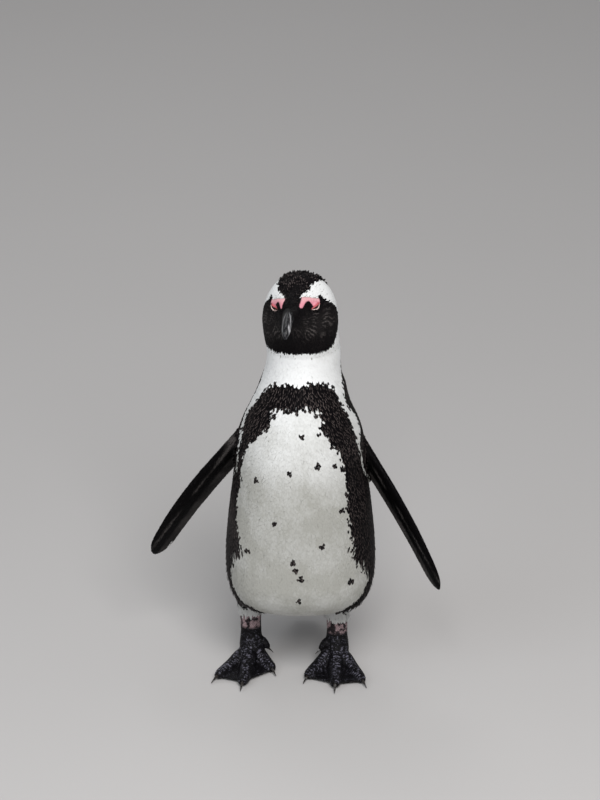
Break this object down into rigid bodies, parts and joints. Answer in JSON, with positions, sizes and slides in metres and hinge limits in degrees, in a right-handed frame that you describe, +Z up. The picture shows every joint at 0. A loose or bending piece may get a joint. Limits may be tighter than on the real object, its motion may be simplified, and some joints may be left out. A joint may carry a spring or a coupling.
{
  "type": "african penguin",
  "caption": "Life-size standing African penguin with flippers held off its sides, short wedge tail, hooked bill and webbed, clawed feet.",
  "frame": {"origin": "centre of the bird's box on the floor it stands on", "axes": "+Z up from the floor to the crown; -Y the way the breast faces; -X the bird's own right side"},
  "size_m": [0.3392, 0.2206, 0.496],
  "materials": {
    "white_coat": "dense overlapping white feathers",
    "black_coat": "dense overlapping black feathers",
    "bare_skin": "scaly skin of legs and feet",
    "horn": "satin horn of bill and claws",
    "eye": "wet, clear surface over a dark brown iris"
  },
  "bodies": {
    "root": {"trunk": "white_coat", "neck": "white_coat", "head": "black_coat", "tail": "black_coat", "flipper_left": "black_coat", "flipper_right": "black_coat", "bill_upper": "horn", "bill_lower": "horn", "eye_left": "eye", "eye_right": "eye", "leg_left": "bare_skin", "leg_right": "bare_skin", "foot_left": "bare_skin", "foot_right": "bare_skin", "claw_left_inner": "horn", "claw_left_middle": "horn", "claw_left_outer": "horn", "claw_left_hind": "horn", "claw_right_inner": "horn", "claw_right_middle": "horn", "claw_right_outer": "horn", "claw_right_hind": "horn"}
  },
  "joints": []
}
